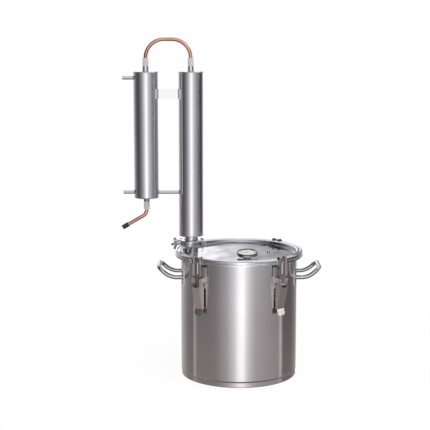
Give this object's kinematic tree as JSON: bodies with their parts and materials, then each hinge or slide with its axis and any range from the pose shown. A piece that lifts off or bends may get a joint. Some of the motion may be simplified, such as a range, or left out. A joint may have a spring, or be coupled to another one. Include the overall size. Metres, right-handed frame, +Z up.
{
  "type": "pot still",
  "caption": "Pot still for distilling: a round steel boiler with a latched lid and side handles, a column clamped to the lid, and a condenser joined to it by a copper vapour arch.",
  "frame": {"origin": "middle of the base, on the surface that the still stands on", "axes": "+Z up along the boiler's axis; -X towards the column and the condenser; -Y is the front"},
  "size_m": [0.5147, 0.33, 0.8716],
  "materials": {
    "satin_steel": "satin stainless steel, ground round the axis",
    "polished_steel": "polished stainless steel",
    "latch_steel": "pressed and tumbled stainless steel",
    "core_aluminium": "plain, enclosed in the base",
    "copper": "drawn copper, bright",
    "silicone": "translucent silicone",
    "black_rubber": "moulded, matt",
    "dark_metal": "dark gloss",
    "lens_glass": "clear",
    "dial_white": "printed, matt",
    "needle_black": "matt"
  },
  "bodies": {
    "still": {"boiler_shell": "satin_steel", "column_tube": "satin_steel", "condenser_shell": "satin_steel", "clamp_bolt": "satin_steel", "clamp_pins": "satin_steel", "cooling_tubes": "satin_steel", "tube_plates": "satin_steel", "baffles": "satin_steel", "lid": "polished_steel", "lid_ferrule": "polished_steel", "column_ferrule": "polished_steel", "clamp_half_front": "polished_steel", "clamp_half_rear": "polished_steel", "column_foot_cap": "polished_steel", "column_top_cap": "polished_steel", "vapour_stubs": "polished_steel", "condenser_foot_cap": "polished_steel", "condenser_top_cap": "polished_steel", "condenser_outlet": "polished_steel", "water_nozzles": "polished_steel", "lower_brace": "polished_steel", "upper_bracket": "polished_steel", "handle_left": "polished_steel", "handle_right": "polished_steel", "handle_plates": "polished_steel", "rivets": "polished_steel", "base_cap": "polished_steel", "packing_screen": "polished_steel", "thermometer_stem": "polished_steel", "thermometer_nut": "polished_steel", "latch_bases": "latch_steel", "latch_pivots": "latch_steel", "base_core": "core_aluminium", "copper_packing": "copper", "lid_gasket": "silicone", "clamp_gasket": "silicone", "thermometer_case": "dark_metal", "thermometer_bezel": "dark_metal", "thermometer_lens": "lens_glass", "thermometer_dial": "dial_white"},
    "wing_nut": {"wing_nut": "polished_steel"},
    "needle": {"thermometer_needle": "needle_black"},
    "vapour_line": {"copper_arch": "copper", "arch_sleeves": "silicone"},
    "spout": {"copper_spout": "copper", "outlet_sleeve": "silicone"},
    "spout_cap": {"spout_cap": "black_rubber"},
    "relief_plug": {"relief_plug": "polished_steel"},
    "lever_fl": {"latch_lever_fl": "latch_steel", "latch_pin_fl": "latch_steel"},
    "hook_fl": {"latch_hook_fl": "latch_steel"},
    "lever_fr": {"latch_lever_fr": "latch_steel", "latch_pin_fr": "latch_steel"},
    "hook_fr": {"latch_hook_fr": "latch_steel"},
    "lever_rr": {"latch_lever_rr": "latch_steel", "latch_pin_rr": "latch_steel"},
    "hook_rr": {"latch_hook_rr": "latch_steel"},
    "lever_rl": {"latch_lever_rl": "latch_steel", "latch_pin_rl": "latch_steel"},
    "hook_rl": {"latch_hook_rl": "latch_steel"}
  },
  "joints": [
    {"name": "lever_fl_swing", "type": "hinge", "parent": "still", "child": "lever_fl", "pos_m": [-0.10733, -0.12791, 0.273], "axis": [-0.766, 0.6428, 0], "range_deg": [0, 100]},
    {"name": "hook_fl_swing", "type": "hinge", "parent": "lever_fl", "child": "hook_fl", "pos_m": [-0.10696, -0.12747, 0.26202], "axis": [-0.766, 0.6428, 0], "range_deg": [-120, 0]},
    {"name": "lever_fr_swing", "type": "hinge", "parent": "still", "child": "lever_fr", "pos_m": [0.10733, -0.12791, 0.273], "axis": [-0.766, -0.6428, 0], "range_deg": [0, 100]},
    {"name": "hook_fr_swing", "type": "hinge", "parent": "lever_fr", "child": "hook_fr", "pos_m": [0.10696, -0.12747, 0.26202], "axis": [-0.766, -0.6428, 0], "range_deg": [-120, 0]},
    {"name": "lever_rr_swing", "type": "hinge", "parent": "still", "child": "lever_rr", "pos_m": [0.10733, 0.12791, 0.273], "axis": [0.766, -0.6428, 0], "range_deg": [0, 100]},
    {"name": "hook_rr_swing", "type": "hinge", "parent": "lever_rr", "child": "hook_rr", "pos_m": [0.10696, 0.12747, 0.26202], "axis": [0.766, -0.6428, 0], "range_deg": [-120, 0]},
    {"name": "lever_rl_swing", "type": "hinge", "parent": "still", "child": "lever_rl", "pos_m": [-0.10733, 0.12791, 0.273], "axis": [0.766, 0.6428, 0], "range_deg": [0, 100]},
    {"name": "hook_rl_swing", "type": "hinge", "parent": "lever_rl", "child": "hook_rl", "pos_m": [-0.10696, 0.12747, 0.26202], "axis": [0.766, 0.6428, 0], "range_deg": [-120, 0]},
    {"name": "wing_nut_turn", "type": "hinge", "parent": "still", "child": "wing_nut", "pos_m": [-0.16036, 0.00141, 0.345], "axis": [-0.4226, -0.9063, 0], "continuous": true},
    {"name": "needle_turn", "type": "hinge", "parent": "still", "child": "needle", "pos_m": [0.02, -0.052, 0.3227], "axis": [0, -0.1392, 0.9903], "range_deg": [-270, 0]},
    {"name": "vapour_line_lift", "type": "slide", "parent": "still", "child": "vapour_line", "axis": [0, 0, 1], "range_m": [0, 0.06]},
    {"name": "spout_swivel", "type": "hinge", "parent": "still", "child": "spout", "pos_m": [-0.238, 0, 0.44], "axis": [0, 0, 1], "range_deg": [-120, 120]},
    {"name": "spout_cap_pull", "type": "slide", "parent": "spout", "child": "spout_cap", "axis": [-0.866, 0, -0.5], "range_m": [0, 0.03]},
    {"name": "relief_plug_lift", "type": "slide", "parent": "still", "child": "relief_plug", "axis": [0, 0, 1], "range_m": [0, 0.012]}
  ],
  "couplings": [
    {"joint": "hook_fl_swing", "follows": "lever_fl_swing", "ratio": -1.2},
    {"joint": "hook_fr_swing", "follows": "lever_fr_swing", "ratio": -1.2},
    {"joint": "hook_rr_swing", "follows": "lever_rr_swing", "ratio": -1.2},
    {"joint": "hook_rl_swing", "follows": "lever_rl_swing", "ratio": -1.2}
  ]
}
